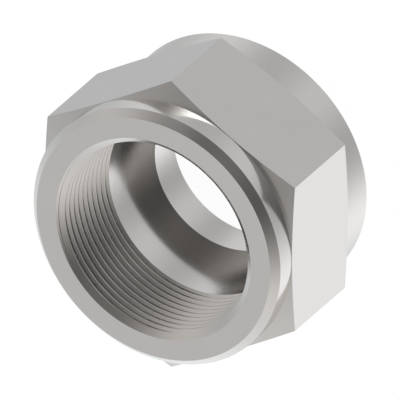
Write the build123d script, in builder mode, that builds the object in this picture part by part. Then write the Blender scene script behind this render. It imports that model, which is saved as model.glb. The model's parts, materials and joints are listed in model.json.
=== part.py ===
"""Hexagon tube nut turned from one piece of stainless steel bar.

The threaded mouth takes the fitting body, and the plain bore at the rear lets
the tube through. The nut stands on its rear face, with its axis upright and
the mouth at the top. The origin is the centre of the rear face, and one corner
of the hexagon points along +Y. Lengths are in millimetres, angles in degrees.
"""
import os
from math import cos, radians, tan

from build123d import *

# Hexagon
across_flats = 65.0
hexagon_width = 25.5
corner_chamfer_angle = 15.0

# Turned collars in front of and behind the hexagon
front_collar_diameter = 64.8
front_collar_length = 6.8
front_edge_chamfer = 1.75
rear_collar_diameter = 64.4
rear_collar_length = 10.2
rear_edge_chamfer = 1.25

# Thread M50 x 2, bored here to the diameter of its crests
thread_diameter = 50.0
thread_pitch = 2.0
thread_crest_cut = 1.0825
entry_diameter = 51.2
entry_chamfer_angle = 60.0

# Plain bore for a 38 mm tube, which ends at a flat shoulder
tube_diameter = 38.0
tube_clearance = 0.4
tube_bore_length = 8.5

# Sizes that follow from the ones above
hexagon_bottom = rear_collar_length
hexagon_top = hexagon_bottom + hexagon_width
total_length = hexagon_top + front_collar_length
corner_radius = across_flats / 2 / cos(radians(30))
front_collar_radius = front_collar_diameter / 2
rear_collar_radius = rear_collar_diameter / 2
chamfer_slope = tan(radians(corner_chamfer_angle))
front_corner_drop = (corner_radius - front_collar_radius) * chamfer_slope
rear_corner_rise = (corner_radius - rear_collar_radius) * chamfer_slope
crest_radius = (thread_diameter - thread_crest_cut * thread_pitch) / 2
entry_radius = entry_diameter / 2
entry_depth = (entry_radius - crest_radius) / tan(radians(entry_chamfer_angle))
tube_bore_radius = (tube_diameter + tube_clearance) / 2

with BuildPart() as tube_nut:
    # The hexagon bar, with one corner towards +Y
    with BuildSketch(Plane.XY.offset(hexagon_bottom)):
        RegularPolygon(across_flats / 2, 6, major_radius=False, rotation=90)
    extrude(amount=hexagon_width)

    # Both ends of its corners are turned down to a shallow cone
    with BuildSketch(Plane.XZ):
        with BuildLine():
            Polyline(
                (0, hexagon_bottom),
                (rear_collar_radius, hexagon_bottom),
                (corner_radius, hexagon_bottom + rear_corner_rise),
                (corner_radius, hexagon_top - front_corner_drop),
                (front_collar_radius, hexagon_top),
                (0, hexagon_top),
                close=True,
            )
        make_face()
    revolve(axis=Axis.Z, mode=Mode.INTERSECT)

    # The collars, turned just under the flats, with a broken outer edge
    with BuildSketch(Plane.XZ):
        with BuildLine():
            Polyline(
                (0, 0),
                (rear_collar_radius - rear_edge_chamfer, 0),
                (rear_collar_radius, rear_edge_chamfer),
                (rear_collar_radius, hexagon_bottom),
                (0, hexagon_bottom),
                close=True,
            )
        make_face()
        with BuildLine():
            Polyline(
                (0, hexagon_top),
                (front_collar_radius, hexagon_top),
                (front_collar_radius, total_length - front_edge_chamfer),
                (front_collar_radius - front_edge_chamfer, total_length),
                (0, total_length),
                close=True,
            )
        make_face()
    revolve(axis=Axis.Z)

    # The way through: tube bore, flat shoulder, plain wall and entry chamfer
    with BuildSketch(Plane.XZ):
        with BuildLine():
            Polyline(
                (0, 0),
                (tube_bore_radius, 0),
                (tube_bore_radius, tube_bore_length),
                (crest_radius, tube_bore_length),
                (crest_radius, total_length - entry_depth),
                (entry_radius, total_length),
                (0, total_length),
                close=True,
            )
        make_face()
    revolve(axis=Axis.Z, mode=Mode.SUBTRACT)

tube_nut.part.label = "tube_nut"

os.makedirs("parts", exist_ok=True)
export_step(tube_nut.part, "parts/tube_nut.step")
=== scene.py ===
"""Finished look of a turned stainless steel tube nut, and the plain studio that it stands in.

The nut stands on its rear face with the threaded mouth up, in metres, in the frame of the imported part.
"""
import json
from collections import namedtuple
from math import cos, pi, radians, sin, tan

import bpy
from mathutils import Matrix, Vector


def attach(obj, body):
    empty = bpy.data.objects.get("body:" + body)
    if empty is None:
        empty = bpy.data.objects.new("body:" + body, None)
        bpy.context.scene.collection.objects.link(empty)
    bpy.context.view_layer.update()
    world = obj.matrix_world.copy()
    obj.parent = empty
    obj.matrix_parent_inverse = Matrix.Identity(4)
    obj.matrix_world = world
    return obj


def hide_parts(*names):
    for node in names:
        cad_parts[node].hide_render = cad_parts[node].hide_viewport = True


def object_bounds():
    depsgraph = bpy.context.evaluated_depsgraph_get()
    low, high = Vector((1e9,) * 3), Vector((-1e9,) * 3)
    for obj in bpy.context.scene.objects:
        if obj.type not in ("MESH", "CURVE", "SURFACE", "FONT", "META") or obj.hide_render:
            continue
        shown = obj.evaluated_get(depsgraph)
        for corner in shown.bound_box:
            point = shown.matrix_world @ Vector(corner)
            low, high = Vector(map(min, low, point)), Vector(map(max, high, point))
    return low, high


bl_info = {
    "name": "Tube Nut",
    "version": (1, 0, 0),
    "blender": (4, 5, 0),
    "location": "3D View > Sidebar > Tube Nut",
    "description": "Turned hexagon nut for a tube fitting, with its thread, finish and studio",
    "category": "Add Mesh",
}

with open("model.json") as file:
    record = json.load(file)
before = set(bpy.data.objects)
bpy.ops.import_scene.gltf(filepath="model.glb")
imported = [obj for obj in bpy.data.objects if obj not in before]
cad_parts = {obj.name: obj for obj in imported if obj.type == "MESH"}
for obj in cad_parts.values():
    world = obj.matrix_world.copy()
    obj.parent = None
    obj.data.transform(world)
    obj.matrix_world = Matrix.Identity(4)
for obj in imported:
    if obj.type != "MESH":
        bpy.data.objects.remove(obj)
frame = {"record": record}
cad_low, cad_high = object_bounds()

MM = 0.001
BODY = "root"
NODE = "tube_nut"

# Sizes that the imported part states
mounts = {mount["name"]: mount for mount in frame["record"]["mounts"]}
ACROSS_FLATS = cad_high[0] - cad_low[0]
TOTAL_LENGTH = cad_high[2] - cad_low[2]
CREST_RADIUS = mounts["fitting_thread"]["dims"]["r_mm"] * MM
TUBE_BORE_RADIUS = mounts["tube_bore"]["dims"]["r_mm"] * MM
TUBE_BORE_LENGTH = mounts["tube_bore"]["dims"]["length_mm"] * MM

# The section's other angles, as the part has them
CORNER_CHAMFER_ANGLE = radians(15)
ENTRY_CHAMFER_ANGLE = radians(60)

# Half of the angle that one side of the hexagon takes up round the axis
HALF_SIDE = radians(30)

# The thread's form: the angle between its flanks, and the rest as shares of its pitch
THREAD_ANGLE = radians(60)
CREST_FLAT = 0.07
ROOT_FLAT = 0.25
FLANK_WIDTH = (1 - CREST_FLAT - ROOT_FLAT) / 2
THREAD_DEPTH = FLANK_WIDTH / tan(THREAD_ANGLE / 2)

# How far the crests stand above whole pitches on the +X side, as a share of the pitch
CREST_OFFSET = 0.078

# Part of a turn over which the last groove fades into the plain wall
RUN_OUT_TURNS = 1 / 6

# Points of the mesh that are nearer than this are one
MERGE_DISTANCE = MM / 1000

# Edges that bend by more than this are crisp
SHARP_ANGLE = radians(10)

# A face is part of a flat when more than this share of its corners are on hexagon rows
FLAT_SHARE = 0.75

# What each row of the section tells the nodes, as attributes of its point
ROW_NOTES = (
    "hexagon",  # 1 where the row spreads out to the hexagon's flats
    "slope",  # how much the row rises for each step that it spreads
    "thread",  # 1 where the row winds round with the thread
    "turn",  # how many pitches up its groove is on the +X side
    "meets",  # 1 where the row starts a groove, which the entry chamfer may cut short
    "reach",  # how far up or down the row moves to stay on the entry chamfer's edge
)

SectionRow = namedtuple("SectionRow", ("radius", "height", *ROW_NOTES), defaults=[0] * len(ROW_NOTES))


def linear(hex_colour):
    """Turns an sRGB hex colour into the linear one that Blender works in."""
    channels = [int(hex_colour[i:i + 2], 16) / 255 for i in (1, 3, 5)]
    return tuple(c / 12.92 if c <= 0.04045 else ((c + 0.055) / 1.055) ** 2.4 for c in channels)


def add_node(tree, kind, inputs=(), **settings):
    """Adds a node with its settings, and gives its inputs, in order or by name, values or other nodes.

    A node that is given as an input stands for its first output.
    """
    node = tree.nodes.new(kind)
    for name, value in settings.items():
        setattr(node, name, value)
    by_socket = inputs if isinstance(inputs, dict) else dict(enumerate(inputs))
    for socket, source in by_socket.items():
        if isinstance(source, bpy.types.Node):
            source = source.outputs[0]
        if isinstance(source, bpy.types.NodeSocket):
            tree.links.new(source, node.inputs[socket])
        else:
            node.inputs[socket].default_value = source
    return node


class NutSizes(bpy.types.PropertyGroup):
    """Sizes of the nut that a user may change."""

    across_flats: bpy.props.FloatProperty(
        name="Across flats", description="Width of the hexagon between two flats",
        default=ACROSS_FLATS, unit="LENGTH", subtype="DISTANCE")
    hexagon_width: bpy.props.FloatProperty(
        name="Hexagon width", description="Height of the hexagon along the nut's axis",
        default=25.5 * MM, unit="LENGTH", subtype="DISTANCE")
    rear_collar_length: bpy.props.FloatProperty(
        name="Rear collar length", description="Height of the collar under the hexagon",
        default=10.2 * MM, unit="LENGTH", subtype="DISTANCE")
    rear_collar_diameter: bpy.props.FloatProperty(
        name="Rear collar diameter", description="Turned diameter of the collar under the hexagon",
        default=64.4 * MM, unit="LENGTH", subtype="DISTANCE")
    rear_edge_chamfer: bpy.props.FloatProperty(
        name="Rear edge chamfer", description="Width of the broken edge at the rear face",
        default=1.25 * MM, unit="LENGTH", subtype="DISTANCE")
    front_collar_diameter: bpy.props.FloatProperty(
        name="Front collar diameter", description="Turned diameter of the collar at the mouth",
        default=64.8 * MM, unit="LENGTH", subtype="DISTANCE")
    front_edge_chamfer: bpy.props.FloatProperty(
        name="Front edge chamfer", description="Width of the broken edge at the front face",
        default=1.75 * MM, unit="LENGTH", subtype="DISTANCE")
    entry_diameter: bpy.props.FloatProperty(
        name="Entry diameter", description="Wide end of the thread's entry chamfer",
        default=51.2 * MM, unit="LENGTH", subtype="DISTANCE")
    thread_pitch: bpy.props.FloatProperty(
        name="Thread pitch", description="Distance from one thread crest to the next",
        default=2.0 * MM, unit="LENGTH", subtype="DISTANCE")
    thread_end: bpy.props.FloatProperty(
        name="Thread end", description="Height above the rear face at which the last groove ends",
        default=21.7 * MM, unit="LENGTH", subtype="DISTANCE")
    columns: bpy.props.IntProperty(
        name="Columns", description="Faces round the nut, a multiple of twelve", default=480, min=12)


class NutFinish(bpy.types.PropertyGroup):
    """Colour and surface of the steel."""

    colour: bpy.props.FloatVectorProperty(
        name="Colour", description="Reflection colour of the stainless steel",
        default=linear("#D5D3D1"), subtype="COLOR", min=0, max=1)
    roughness: bpy.props.FloatProperty(
        name="Roughness", description="How much the turned surface blurs what it reflects",
        default=0.17, subtype="FACTOR", min=0, max=1)
    ring_spacing: bpy.props.FloatProperty(
        name="Ring spacing", description="Distance between the rings that the turning tool leaves",
        default=0.5 * MM, unit="LENGTH", subtype="DISTANCE")
    line_spacing: bpy.props.FloatProperty(
        name="Line spacing", description="Distance between the lines that drawing leaves along the flats",
        default=0.7 * MM, unit="LENGTH", subtype="DISTANCE")
    line_length: bpy.props.FloatProperty(
        name="Line length", description="Length of a drawn line along the flats",
        default=30 * MM, unit="LENGTH", subtype="DISTANCE")
    patch_size: bpy.props.FloatProperty(
        name="Patch size", description="Width of the faint patches that handling leaves",
        default=9 * MM, unit="LENGTH", subtype="DISTANCE")
    mark_depth: bpy.props.FloatProperty(
        name="Mark depth", description="Depth of the rings and the lines",
        default=0.0015 * MM, unit="LENGTH", subtype="DISTANCE", precision=6)


class StudioLook(bpy.types.PropertyGroup):
    """Floor, light and framing."""

    floor_colour: bpy.props.FloatVectorProperty(
        name="Floor colour", description="Colour of the pale floor",
        default=linear("#F2F2F1"), subtype="COLOR", min=0, max=1)
    floor_width: bpy.props.FloatProperty(
        name="Floor width", description="Side of the square floor",
        default=3.0, unit="LENGTH", subtype="DISTANCE")
    backdrop_glow: bpy.props.FloatProperty(
        name="Backdrop glow", description="How near to white the picture shows the floor in the nut's shade",
        default=0.95, subtype="FACTOR", min=0, max=1)
    shadow_depth: bpy.props.FloatProperty(
        name="Shadow depth", description="How much of the studio's light on the floor the picture shows",
        default=0.15, subtype="FACTOR", min=0, max=1)
    view_width: bpy.props.FloatProperty(
        name="View width", description="Width that the picture takes in",
        default=90.97 * MM, unit="LENGTH", subtype="DISTANCE")


def entry_cone_height(sizes, radius):
    """Height at which the entry chamfer is that wide."""
    return TOTAL_LENGTH - (sizes.entry_diameter / 2 - radius) / tan(ENTRY_CHAMFER_ANGLE)


def thread_ends(sizes):
    """The thread's ends: just under its last groove, and where the entry chamfer is as wide as its roots."""
    root_radius = CREST_RADIUS + THREAD_DEPTH * sizes.thread_pitch
    return sizes.thread_end - sizes.thread_pitch / 2, entry_cone_height(sizes, root_radius)


def thread_rows(sizes):
    """Rows of the helical thread from the mouth down, where each turn rises by one pitch."""
    pitch = sizes.thread_pitch
    root_radius = CREST_RADIUS + THREAD_DEPTH * pitch
    half_crest = CREST_FLAT / 2 * pitch
    bottom, top = thread_ends(sizes)
    highest = int(top / pitch) + 1
    lowest = int(bottom / pitch)
    rows = []
    for number in range(highest, lowest - 1, -1):
        crest = (number + CREST_OFFSET) * pitch
        groove_turn = number + CREST_OFFSET - 1 / 2
        crest_end = crest - half_crest
        root_start = crest_end - FLANK_WIDTH * pitch
        root_end = root_start - ROOT_FLAT * pitch
        next_crest = root_end - FLANK_WIDTH * pitch
        rows += [
            SectionRow(CREST_RADIUS, crest_end, thread=1, turn=groove_turn, meets=1),
            SectionRow(root_radius, root_start, thread=1, turn=groove_turn),
            SectionRow(root_radius, root_end, thread=1, turn=groove_turn),
            SectionRow(CREST_RADIUS, next_crest, thread=1, turn=groove_turn),
            SectionRow(CREST_RADIUS, next_crest - half_crest, thread=1, reach=half_crest),
        ]
    return rows


def section_rows(sizes):
    """The nut's section, round from the rear edge of the tube bore: up the outside, down the inside."""
    rear = sizes.rear_collar_diameter / 2
    front = sizes.front_collar_diameter / 2
    entry = sizes.entry_diameter / 2
    bottom = sizes.rear_collar_length
    top = bottom + sizes.hexagon_width
    slope = tan(CORNER_CHAMFER_ANGLE)
    return [
        SectionRow(TUBE_BORE_RADIUS, 0),
        SectionRow(rear - sizes.rear_edge_chamfer, 0),
        SectionRow(rear, sizes.rear_edge_chamfer),
        SectionRow(rear, bottom),
        SectionRow(rear, bottom, hexagon=1, slope=slope),
        SectionRow(front, top, hexagon=1, slope=-slope),
        SectionRow(front, top),
        SectionRow(front, TOTAL_LENGTH - sizes.front_edge_chamfer),
        SectionRow(front - sizes.front_edge_chamfer, TOTAL_LENGTH),
        SectionRow(entry, TOTAL_LENGTH),
        *thread_rows(sizes),
        SectionRow(CREST_RADIUS, TUBE_BORE_LENGTH),
        SectionRow(TUBE_BORE_RADIUS, TUBE_BORE_LENGTH),
        SectionRow(TUBE_BORE_RADIUS, 0),
    ]


def section_mesh(rows):
    """A chain of points, one for each row, which carries what the nodes need to know of the row."""
    mesh = bpy.data.meshes.new("nut_section")
    points = [(row.radius, 0, row.height) for row in rows]
    mesh.from_pydata(points, [(i, i + 1) for i in range(len(rows) - 1)], [])
    for name in ROW_NOTES:
        attribute = mesh.attributes.new(name, "FLOAT", "POINT")
        attribute.data.foreach_set("value", [float(getattr(row, name)) for row in rows])
    return mesh


def read_section(tree, section, row):
    """What the section says of each grid point's row: its radius X and height Z, and its notes."""
    position = add_node(tree, "GeometryNodeInputPosition")
    sampled = add_node(tree, "GeometryNodeSampleIndex", {
        "Geometry": section,
        "Value": position,
        "Index": row,
    }, data_type="FLOAT_VECTOR", domain="POINT")
    place = add_node(tree, "ShaderNodeSeparateXYZ", [sampled]).outputs
    said = {}
    for name in ROW_NOTES:
        note = add_node(tree, "GeometryNodeInputNamedAttribute", {"Name": name}, data_type="FLOAT")
        said[name] = add_node(tree, "GeometryNodeSampleIndex", {
            "Geometry": section,
            "Value": note,
            "Index": row,
        }, data_type="FLOAT", domain="POINT")
    return place, said


def outer_shape(tree, given, place, said, angle):
    """Radius and height of the rows that don't wind: plain rings, or spread out to the hexagon's flats."""
    from_flat = add_node(tree, "ShaderNodeMath", [angle, HALF_SIDE, -HALF_SIDE], operation="WRAP")
    cosine = add_node(tree, "ShaderNodeMath", [from_flat], operation="COSINE")
    flat_radius = add_node(tree, "ShaderNodeMath", [given["Flat distance"], cosine], operation="DIVIDE")
    spread = add_node(tree, "ShaderNodeMath", [flat_radius, place["X"]], operation="SUBTRACT")
    radius = add_node(tree, "ShaderNodeMath", [said["hexagon"], spread, place["X"]], operation="MULTIPLY_ADD")
    height = add_node(tree, "ShaderNodeMath", [said["slope"], spread, place["Z"]], operation="MULTIPLY_ADD")
    return radius, height


def thread_shape(tree, given, place, said, turn):
    """Radius and height of the thread's rows, which rise by one pitch as they go round."""
    crest_radius = given["Crest radius"]
    entry_height = given["Entry height"]
    entry_slope = given["Entry slope"]
    flank_slope = given["Flank slope"]
    risen = add_node(tree, "ShaderNodeMath", [given["Pitch"], turn, place["Z"]], operation="MULTIPLY_ADD")

    # A groove that starts past the entry chamfer's edge starts lower, where its flank meets the chamfer
    past_edge = add_node(tree, "ShaderNodeMath", [risen, entry_height], operation="SUBTRACT")
    both_slopes = add_node(tree, "ShaderNodeMath", [entry_slope, flank_slope], operation="ADD")
    share = add_node(tree, "ShaderNodeMath", [entry_slope, both_slopes], operation="DIVIDE")
    way_down = add_node(tree, "ShaderNodeMath", [past_edge, share], operation="MULTIPLY")
    within_flank = add_node(tree, "ShaderNodeClamp", [way_down, 0.0, given["Flank width"]])
    lowered = add_node(tree, "ShaderNodeMath", [within_flank, said["meets"]], operation="MULTIPLY")
    met = add_node(tree, "ShaderNodeMath", [risen, lowered], operation="SUBTRACT")

    # The row within a crest stays on that edge as far as it reaches, and no row leaves the threaded wall
    least = add_node(tree, "ShaderNodeMath", [met, said["reach"]], operation="SUBTRACT")
    most = add_node(tree, "ShaderNodeMath", [met, said["reach"]], operation="ADD")
    at_edge = add_node(tree, "ShaderNodeClamp", [entry_height, least, most])
    height = add_node(tree, "ShaderNodeClamp", [at_edge, given["Thread bottom"], given["Thread top"]])

    # The groove's depth, which fades out at the lower end
    wound = add_node(tree, "ShaderNodeMath", [said["turn"], turn], operation="ADD")
    full_turn = add_node(tree, "ShaderNodeMath", [given["End turn"], given["Run-out turns"]], operation="ADD")
    fade = add_node(tree, "ShaderNodeMapRange", {
        "Value": wound,
        "From Min": given["End turn"],
        "From Max": full_turn,
    }, interpolation_type="SMOOTHSTEP")
    row_depth = add_node(tree, "ShaderNodeMath", [place["X"], crest_radius], operation="SUBTRACT")
    depth = add_node(tree, "ShaderNodeMath", [lowered, flank_slope, row_depth], operation="MULTIPLY_ADD")
    groove_radius = add_node(tree, "ShaderNodeMath", [depth, fade, crest_radius], operation="MULTIPLY_ADD")

    # The entry chamfer takes over wherever it is wider
    above_edge = add_node(tree, "ShaderNodeMath", [height, entry_height], operation="SUBTRACT")
    cone_radius = add_node(
        tree, "ShaderNodeMath", [above_edge, entry_slope, crest_radius], operation="MULTIPLY_ADD")
    radius = add_node(tree, "ShaderNodeMath", [groove_radius, cone_radius], operation="MAXIMUM")
    return radius, height


NUT_INPUTS = (
    ("Section", "NodeSocketGeometry"),
    ("Columns", "NodeSocketInt"),
    ("Flat distance", "NodeSocketFloat"),
    ("Pitch", "NodeSocketFloat"),
    ("Crest radius", "NodeSocketFloat"),
    ("Thread bottom", "NodeSocketFloat"),
    ("Thread top", "NodeSocketFloat"),
    ("Entry height", "NodeSocketFloat"),
    ("Entry slope", "NodeSocketFloat"),
    ("Flank width", "NodeSocketFloat"),
    ("Flank slope", "NodeSocketFloat"),
    ("End turn", "NodeSocketFloat"),
    ("Run-out turns", "NodeSocketFloat"),
    ("Sharp angle", "NodeSocketFloat"),
    ("Finish", "NodeSocketMaterial"),
)


def nut_tree():
    """Turns the section round the axis, spreads its hexagon rows to the flats and winds its thread rows."""
    tree = bpy.data.node_groups.new("Turned nut", "GeometryNodeTree")
    for name, kind in NUT_INPUTS:
        tree.interface.new_socket(name, in_out="INPUT", socket_type=kind)
    tree.interface.new_socket("Nut", in_out="OUTPUT", socket_type="NodeSocketGeometry")
    given = add_node(tree, "NodeGroupInput").outputs

    # One grid point for each row of the section at each column round the axis
    size = add_node(tree, "GeometryNodeAttributeDomainSize", [given["Section"]], component="MESH")
    row_count = size.outputs["Point Count"]
    column_count = add_node(tree, "ShaderNodeMath", [given["Columns"], 1], operation="ADD")
    grid = add_node(tree, "GeometryNodeMeshGrid", {"Vertices X": column_count, "Vertices Y": row_count})
    index = add_node(tree, "GeometryNodeInputIndex")
    column = add_node(tree, "FunctionNodeIntegerMath", [index, row_count], operation="DIVIDE_FLOOR")
    row = add_node(tree, "FunctionNodeIntegerMath", [index, row_count], operation="MODULO")
    turn = add_node(tree, "ShaderNodeMath", [column, given["Columns"]], operation="DIVIDE")
    angle = add_node(tree, "ShaderNodeMath", [turn, 2 * pi], operation="MULTIPLY")

    # Each point goes to its own row's radius and height at its column's angle
    place, said = read_section(tree, given["Section"], row)
    outer_radius, outer_height = outer_shape(tree, given, place, said, angle)
    thread_radius, thread_height = thread_shape(tree, given, place, said, turn)
    radius = add_node(tree, "GeometryNodeSwitch", {
        "Switch": said["thread"],
        "False": outer_radius,
        "True": thread_radius,
    }, input_type="FLOAT")
    height = add_node(tree, "GeometryNodeSwitch", {
        "Switch": said["thread"],
        "False": outer_height,
        "True": thread_height,
    }, input_type="FLOAT")
    cosine = add_node(tree, "ShaderNodeMath", [angle], operation="COSINE")
    sine = add_node(tree, "ShaderNodeMath", [angle], operation="SINE")
    x = add_node(tree, "ShaderNodeMath", [radius, cosine], operation="MULTIPLY")
    y = add_node(tree, "ShaderNodeMath", [radius, sine], operation="MULTIPLY")
    point = add_node(tree, "ShaderNodeCombineXYZ", [x, y, height])
    placed = add_node(tree, "GeometryNodeSetPosition", {"Geometry": grid, "Position": point})

    # The flats remember that they are drawn and not turned
    on_flat = add_node(tree, "FunctionNodeCompare", [said["hexagon"], FLAT_SHARE], operation="GREATER_THAN")
    marked = add_node(tree, "GeometryNodeStoreNamedAttribute", {
        "Geometry": placed,
        "Name": "drawn_flat",
        "Value": on_flat,
    }, data_type="FLOAT", domain="FACE")

    # Closed round the axis, smooth where it is round and crisp at its edges
    closed = add_node(tree, "GeometryNodeMergeByDistance", {"Geometry": marked, "Distance": MERGE_DISTANCE})
    smooth = add_node(tree, "GeometryNodeSetShadeSmooth", {
        "Geometry": closed,
        "Shade Smooth": True,
    }, domain="FACE")
    bend = add_node(tree, "GeometryNodeInputMeshEdgeAngle").outputs["Unsigned Angle"]
    sharp = add_node(tree, "FunctionNodeCompare", [bend, given["Sharp angle"]], operation="GREATER_THAN")
    crisp = add_node(tree, "GeometryNodeSetShadeSmooth", {
        "Geometry": smooth,
        "Selection": sharp,
        "Shade Smooth": False,
    }, domain="EDGE")
    real = add_node(tree, "GeometryNodeRealizeInstances", [crisp])
    finished = add_node(tree, "GeometryNodeSetMaterial", {"Geometry": real, "Material": given["Finish"]})
    add_node(tree, "NodeGroupOutput", {"Nut": finished})
    return tree


# The rings' step outwards for each step up, which no cone of the nut cancels
RADIUS_SHARE = 1.37

# How far marks and patches together move the tone and the roughness either way
TONE_SWING = 0.05
ROUGHNESS_SWING = 0.06

# Layers of finer and finer variation in the marks and in the patches
MARK_DETAIL = 3.0
PATCH_DETAIL = 2.0


def stainless_steel(finish):
    """Stainless steel bar, fine turned; the flats keep the bar's drawn surface."""
    # To the eye it is a bright, slightly warm grey that mirrors the studio softly, with rings of the
    # turning tool on every turned face and faint straight lines along the flats
    material = bpy.data.materials.new("turned_stainless_steel")
    material.use_nodes = True
    tree = material.node_tree
    tree.nodes.clear()
    place = add_node(tree, "ShaderNodeTexCoord").outputs["Object"]

    # Rings of the turning tool, by height on round faces and by radius on end faces.
    # A fine feed of 0.1 mm a turn can't show at this size, so they are drawn five times as coarse.
    height = add_node(tree, "ShaderNodeSeparateXYZ", [place]).outputs["Z"]
    level = add_node(tree, "ShaderNodeVectorMath", [place, (1, 1, 0)], operation="MULTIPLY")
    radius = add_node(tree, "ShaderNodeVectorMath", [level], operation="LENGTH").outputs["Value"]
    along_section = add_node(tree, "ShaderNodeMath", [radius, RADIUS_SHARE, height], operation="MULTIPLY_ADD")
    ring_number = add_node(tree, "ShaderNodeMath", [along_section, finish.ring_spacing], operation="DIVIDE")
    rings = add_node(tree, "ShaderNodeTexNoise", {
        "W": ring_number,
        "Scale": 1.0,
        "Detail": MARK_DETAIL,
    }, noise_dimensions="1D")

    # Lines of the die that the hexagon bar was drawn through, coarser than real ones for the same reason
    stretch = (1 / finish.line_spacing, 1 / finish.line_spacing, 1 / finish.line_length)
    stretched = add_node(tree, "ShaderNodeVectorMath", [place, stretch], operation="MULTIPLY")
    lines = add_node(tree, "ShaderNodeTexNoise", {
        "Vector": stretched,
        "Scale": 1.0,
        "Detail": MARK_DETAIL,
    })
    drawn = add_node(tree, "ShaderNodeAttribute", attribute_name="drawn_flat").outputs["Fac"]
    instead = add_node(tree, "ShaderNodeMath", [lines, rings], operation="SUBTRACT")
    marks = add_node(tree, "ShaderNodeMath", [drawn, instead, rings], operation="MULTIPLY_ADD")

    # Broad faint patches, where oil and handling leave the steel a little duller
    patches = add_node(tree, "ShaderNodeTexNoise", {
        "Vector": place,
        "Scale": 1 / finish.patch_size,
        "Detail": PATCH_DETAIL,
    })
    mottle = add_node(tree, "ShaderNodeMath", [marks, patches], operation="ADD")
    shade = add_node(tree, "ShaderNodeMath", [mottle, TONE_SWING, 1 - TONE_SWING], operation="MULTIPLY_ADD")
    tone = add_node(tree, "ShaderNodeVectorMath", {0: finish.colour, "Scale": shade}, operation="SCALE")
    smoothest = finish.roughness - ROUGHNESS_SWING
    dulled = add_node(tree, "ShaderNodeMath", [mottle, ROUGHNESS_SWING, smoothest], operation="MULTIPLY_ADD")
    relief = add_node(tree, "ShaderNodeBump", {
        "Strength": 1.0,
        "Distance": finish.mark_depth,
        "Height": marks,
    })
    steel = add_node(tree, "ShaderNodeBsdfPrincipled", {
        "Base Color": tone,
        "Metallic": 1.0,
        "Roughness": dulled,
        "Normal": relief,
    })
    add_node(tree, "ShaderNodeOutputMaterial", {"Surface": steel})
    return material


class TUBENUT_OT_turn_nut(bpy.types.Operator):
    """Turns the nut, cuts its thread and gives it its finish"""

    bl_idname = "tube_nut.turn_nut"
    bl_label = "Turn the Nut"

    def execute(self, context):
        sizes = context.scene.nut_sizes
        nut = bpy.data.objects.new("turned_nut", section_mesh(section_rows(sizes)))
        context.scene.collection.objects.link(nut)
        modifier = nut.modifiers.new("Turned nut", "NODES")
        modifier.node_group = nut_tree()
        thread_bottom, thread_top = thread_ends(sizes)
        values = {
            "Columns": sizes.columns,
            "Flat distance": sizes.across_flats / 2,
            "Pitch": sizes.thread_pitch,
            "Crest radius": CREST_RADIUS,
            "Thread bottom": thread_bottom,
            "Thread top": thread_top,
            "Entry height": entry_cone_height(sizes, CREST_RADIUS),
            "Entry slope": tan(ENTRY_CHAMFER_ANGLE),
            "Flank width": FLANK_WIDTH * sizes.thread_pitch,
            "Flank slope": THREAD_DEPTH / FLANK_WIDTH,
            "End turn": sizes.thread_end / sizes.thread_pitch,
            "Run-out turns": RUN_OUT_TURNS,
            "Sharp angle": SHARP_ANGLE,
            "Finish": stainless_steel(context.scene.nut_finish),
        }
        sockets = {item.name: item.identifier for item in modifier.node_group.interface.items_tree}
        for name, value in values.items():
            modifier[sockets[name]] = value
        context.view_layer.update()
        depsgraph = context.evaluated_depsgraph_get()
        mesh = bpy.data.meshes.new_from_object(nut.evaluated_get(depsgraph), depsgraph=depsgraph)
        nut.modifiers.remove(modifier)
        nut.data = mesh
        if not mesh.polygons:
            raise RuntimeError("the nut's mesh came out empty")
        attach(nut, BODY)
        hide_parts(NODE)
        return {"FINISHED"}


WHITE = (1, 1, 1, 1)
PLAIN_WHITE = "#FFFFFF"
COOL_WHITE = "#FAFDFF"
WARM_WHITE = "#FFF9F4"

# Azimuth runs from +X towards +Y and height from the floor up, in degrees; focus is how tight the glow is
SoftLight = namedtuple("SoftLight", "azimuth height focus strength colour")

# Apart from the one overhead and the small bright one, another program fitted their places, focus and
# strengths to the photograph's tones, in rounded steps
SOFT_LIGHTS = (
    # Broad and low, all round, with a narrower faint one from below
    SoftLight(-55, -30, 5.5, 1.30, PLAIN_WHITE),
    SoftLight(45, -20, 5.0, 1.15, PLAIN_WHITE),
    SoftLight(140, -25, 5.0, 1.10, PLAIN_WHITE),
    SoftLight(-125, -5, 2.5, 1.15, COOL_WHITE),
    SoftLight(70, -65, 18.0, 0.15, PLAIN_WHITE),
    # A dimmer ring above, and a faint one overhead
    SoftLight(-50, 35, 8.0, 0.70, WARM_WHITE),
    SoftLight(150, 40, 8.0, 0.55, WARM_WHITE),
    SoftLight(-115, 50, 10.0, 0.30, WARM_WHITE),
    SoftLight(60, 55, 15.0, 0.15, WARM_WHITE),
    SoftLight(0, 90, 50.0, 0.25, WARM_WHITE),
    # A small bright one
    SoftLight(94, 8, 45.0, 8.5, PLAIN_WHITE),
)


def in_picture(tree, path):
    """1 for what the camera sees, straight or through something clear, and 0 for light and reflections."""
    return add_node(tree, "ShaderNodeMath", [
        path["Is Camera Ray"],
        path["Is Transmission Ray"],
    ], operation="MAXIMUM")


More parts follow.
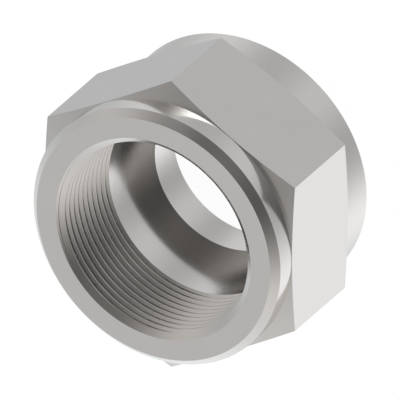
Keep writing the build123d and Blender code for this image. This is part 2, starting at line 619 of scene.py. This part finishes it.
def studio_world():
    """A pale studio: soft lights all round for the object, plain white for the picture's background."""
    world = bpy.data.worlds.new("soft_studio")
    world.use_nodes = True
    tree = world.node_tree
    tree.nodes.clear()
    direction = add_node(tree, "ShaderNodeTexCoord").outputs["Generated"]
    glow = (0.0, 0.0, 0.0)
    for light in SOFT_LIGHTS:
        azimuth = radians(light.azimuth)
        height = radians(light.height)
        towards = Vector((cos(height) * cos(azimuth), cos(height) * sin(azimuth), sin(height)))
        peak = light.strength * Vector(linear(light.colour))
        facing = add_node(tree, "ShaderNodeVectorMath", [direction, towards], operation="DOT_PRODUCT")
        away = add_node(tree, "ShaderNodeMath", [facing.outputs["Value"], 1.0], operation="SUBTRACT")
        fall = add_node(tree, "ShaderNodeMath", [away, light.focus], operation="MULTIPLY")
        spread = add_node(tree, "ShaderNodeMath", [fall], operation="EXPONENT")
        glow = add_node(tree, "ShaderNodeVectorMath", [spread, peak, glow], operation="MULTIPLY_ADD")
    path = add_node(tree, "ShaderNodeLightPath").outputs
    studio = add_node(tree, "ShaderNodeBackground", {"Color": glow, "Strength": 1.0})
    white = add_node(tree, "ShaderNodeBackground", {"Color": WHITE, "Strength": 1.0})
    mixed = add_node(tree, "ShaderNodeMixShader", [in_picture(tree, path), studio, white])
    add_node(tree, "ShaderNodeOutputWorld", {"Surface": mixed})
    return world


def floor_paint(look):
    """Matt white studio paint."""
    # To the eye it is plain white in the picture, with the nut's soft shadow left on it
    material = bpy.data.materials.new("matt_white_floor")
    material.use_nodes = True
    tree = material.node_tree
    tree.nodes.clear()
    path = add_node(tree, "ShaderNodeLightPath").outputs
    faint = [channel * look.shadow_depth for channel in look.floor_colour]
    shaded = add_node(tree, "ShaderNodeBsdfDiffuse", {"Color": (*faint, 1)})
    plain = add_node(tree, "ShaderNodeEmission", {"Color": WHITE, "Strength": look.backdrop_glow})
    pale = add_node(tree, "ShaderNodeAddShader", [shaded, plain])
    matt = add_node(tree, "ShaderNodeBsdfDiffuse", {"Color": (*look.floor_colour, 1)})
    shown = add_node(tree, "ShaderNodeMixShader", [in_picture(tree, path), matt, pale])

    # In the steel the floor gives way to the studio's soft lights
    through = add_node(tree, "ShaderNodeBsdfTransparent")
    surface = add_node(tree, "ShaderNodeMixShader", [path["Is Glossy Ray"], shown, through])
    add_node(tree, "ShaderNodeOutputMaterial", {"Surface": surface})
    return material


# The photograph's view: turned from the nut's axis towards +X, then tilted towards +Y, which is up in it
VIEW_TURN = radians(30)
VIEW_TILT = radians(30)
VIEW_RIGHT = Vector((cos(VIEW_TURN), 0, -sin(VIEW_TURN)))
VIEW_UP = Vector((-sin(VIEW_TILT) * sin(VIEW_TURN), cos(VIEW_TILT), -sin(VIEW_TILT) * cos(VIEW_TURN)))
VIEW_BACK = VIEW_RIGHT.cross(VIEW_UP)

# How far the picture's centre lies to the left of the rear face's centre, and below it
VIEW_LEFT = 10.623 * MM
VIEW_DOWN = 9.441 * MM
VIEW_CENTRE = -VIEW_LEFT * VIEW_RIGHT - VIEW_DOWN * VIEW_UP

# The camera's distance from the picture's centre, and the distances between which it sees
VIEW_DISTANCE = 0.6
CLIP_START = 0.01
CLIP_END = 10.0


class TUBENUT_OT_set_stage(bpy.types.Operator):
    """Sets up the floor, the studio light and the camera"""

    bl_idname = "tube_nut.set_stage"
    bl_label = "Set the Stage"

    def execute(self, context):
        scene = context.scene
        look = scene.studio_look
        half = look.floor_width / 2
        mesh = bpy.data.meshes.new("studio_floor")
        corners = [(-half, -half, 0), (half, -half, 0), (half, half, 0), (-half, half, 0)]
        mesh.from_pydata(corners, [], [(0, 1, 2, 3)])
        mesh.materials.append(floor_paint(look))
        floor = bpy.data.objects.new("studio_floor", mesh)
        scene.collection.objects.link(floor)

        scene.world = studio_world()
        lens = bpy.data.cameras.new("view_camera")
        lens.type = "ORTHO"
        lens.ortho_scale = look.view_width
        lens.clip_start = CLIP_START
        lens.clip_end = CLIP_END
        camera = bpy.data.objects.new("view_camera", lens)
        scene.collection.objects.link(camera)
        turned = Matrix((VIEW_RIGHT, VIEW_UP, VIEW_BACK)).transposed().to_4x4()
        camera.matrix_world = Matrix.Translation(VIEW_CENTRE + VIEW_BACK * VIEW_DISTANCE) @ turned
        scene.camera = camera
        scene.view_settings.view_transform = "Standard"
        return {"FINISHED"}


class TUBENUT_PT_panel(bpy.types.Panel):
    """Lists the nut's sizes, its finish and the studio"""

    bl_idname = "TUBENUT_PT_panel"
    bl_label = "Tube Nut"
    bl_space_type = "VIEW_3D"
    bl_region_type = "UI"
    bl_category = "Tube Nut"

    def draw(self, context):
        scene = context.scene
        for group in (scene.nut_sizes, scene.nut_finish, scene.studio_look):
            box = self.layout.box()
            for name in group.__annotations__:
                box.prop(group, name)
        for operator in (TUBENUT_OT_turn_nut, TUBENUT_OT_set_stage):
            self.layout.operator(operator.bl_idname)


CLASSES = (
    NutSizes,
    NutFinish,
    StudioLook,
    TUBENUT_OT_turn_nut,
    TUBENUT_OT_set_stage,
    TUBENUT_PT_panel,
)


def register():
    for cls in CLASSES:
        bpy.utils.register_class(cls)
    bpy.types.Scene.nut_sizes = bpy.props.PointerProperty(type=NutSizes)
    bpy.types.Scene.nut_finish = bpy.props.PointerProperty(type=NutFinish)
    bpy.types.Scene.studio_look = bpy.props.PointerProperty(type=StudioLook)


def unregister():
    del bpy.types.Scene.studio_look
    del bpy.types.Scene.nut_finish
    del bpy.types.Scene.nut_sizes
    for cls in reversed(CLASSES):
        bpy.utils.unregister_class(cls)


def main():
    register()
    bpy.ops.tube_nut.turn_nut()
    bpy.ops.tube_nut.set_stage()


if __name__ == "__main__":
    main()
